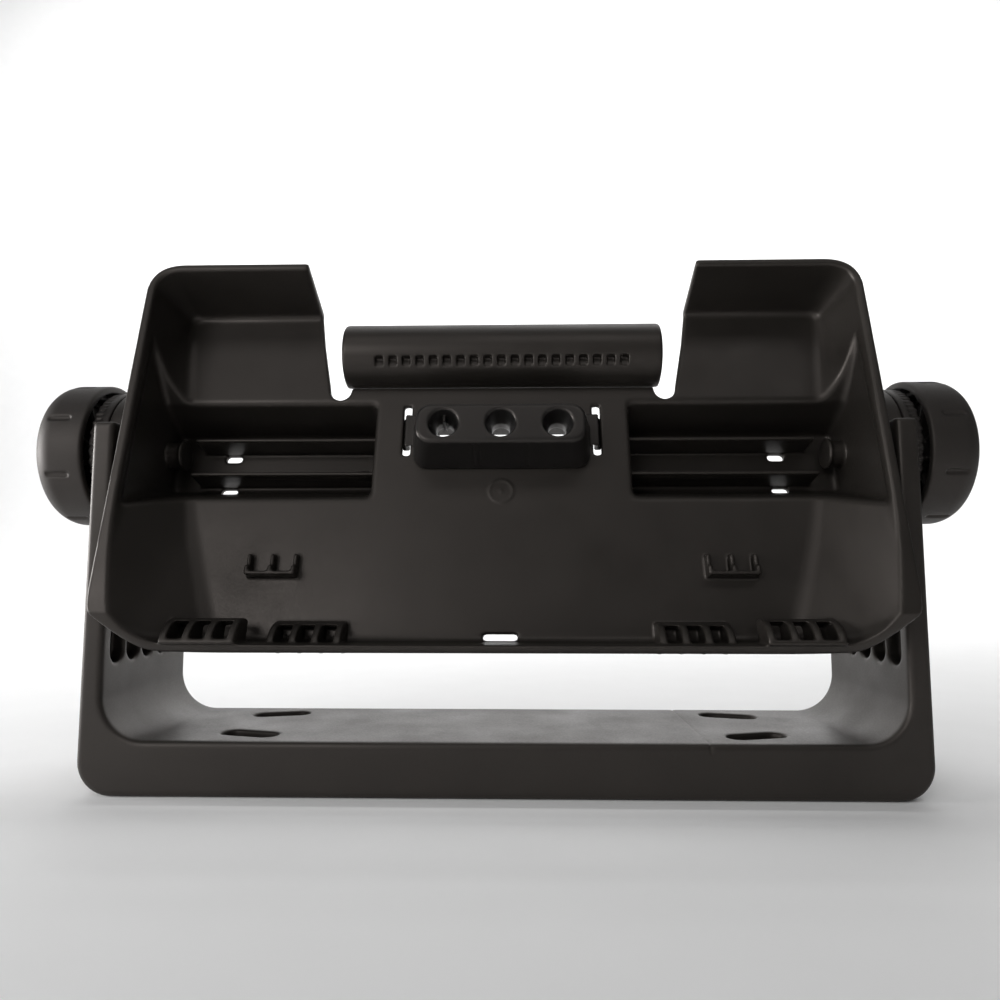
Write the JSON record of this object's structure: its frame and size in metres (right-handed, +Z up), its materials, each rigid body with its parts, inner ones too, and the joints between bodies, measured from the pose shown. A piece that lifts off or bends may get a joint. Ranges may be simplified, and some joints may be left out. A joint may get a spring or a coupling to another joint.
{
  "type": "quick-release tilt bracket for a chartplotter display",
  "caption": "Empty quick-release cradle for a chartplotter display, tilting in a U-shaped bracket with two clamp knobs, a spring latch and a three-port plug block.",
  "frame": {"origin": "middle of the bracket's underside, on the mounting surface", "axes": "+X to the right along the tilt axis's direction, -Y to the front where the display goes, +Z up"},
  "size_m": [0.314, 0.0766, 0.1763],
  "materials": {
    "black_abs": "fine spark-eroded texture, semi-matte",
    "black_nylon": "fine texture, slightly darker and smoother",
    "grip_elastomer": "matte, very fine grain",
    "steel": "satin, rolled thread",
    "brass": "bright, knurled"
  },
  "bodies": {
    "bail": {"bail": "black_abs", "left_clamp_disc": "black_nylon", "right_clamp_disc": "black_nylon"},
    "cradle": {"cradle": "black_abs", "connector_block": "black_nylon", "left_thread_insert": "brass", "right_thread_insert": "brass"},
    "release_latch": {"release_latch": "black_abs"},
    "left_washer": {"left_washer": "steel"},
    "right_washer": {"right_washer": "steel"},
    "left_knob": {"left_knob_core": "black_nylon", "left_knob_grip": "grip_elastomer", "left_knob_stud": "steel"},
    "right_knob": {"right_knob_core": "black_nylon", "right_knob_grip": "grip_elastomer", "right_knob_stud": "steel"}
  },
  "joints": [
    {"name": "cradle_tilt", "type": "hinge", "parent": "bail", "child": "cradle", "pos_m": [0, 0, 0.111], "axis": [1, 0, 0], "range_deg": [-35, 40]},
    {"name": "latch_flex", "type": "hinge", "parent": "cradle", "child": "release_latch", "pos_m": [0, -0.00364, 0.13004], "axis": [1, 0, 0], "range_deg": [-8, 3], "stiffness_Nm_per_rad": 5},
    {"name": "left_knob_travel", "type": "slide", "parent": "cradle", "child": "left_washer", "axis": [-1, 0, 0], "range_m": [0, 0.00241]},
    {"name": "left_knob_turn", "type": "hinge", "parent": "left_washer", "child": "left_knob", "pos_m": [-0.14, 0, 0.111], "axis": [-1, 0, 0], "range_deg": [0, 1080]},
    {"name": "right_knob_travel", "type": "slide", "parent": "cradle", "child": "right_washer", "axis": [1, 0, 0], "range_m": [0, 0.00241]},
    {"name": "right_knob_turn", "type": "hinge", "parent": "right_washer", "child": "right_knob", "pos_m": [0.14, 0, 0.111], "axis": [1, 0, 0], "range_deg": [0, 1080]}
  ],
  "couplings": [
    {"joint": "left_knob_travel", "follows": "left_knob_turn", "m_per_rad": 0.00012732},
    {"joint": "right_knob_travel", "follows": "right_knob_turn", "m_per_rad": 0.00012732}
  ]
}
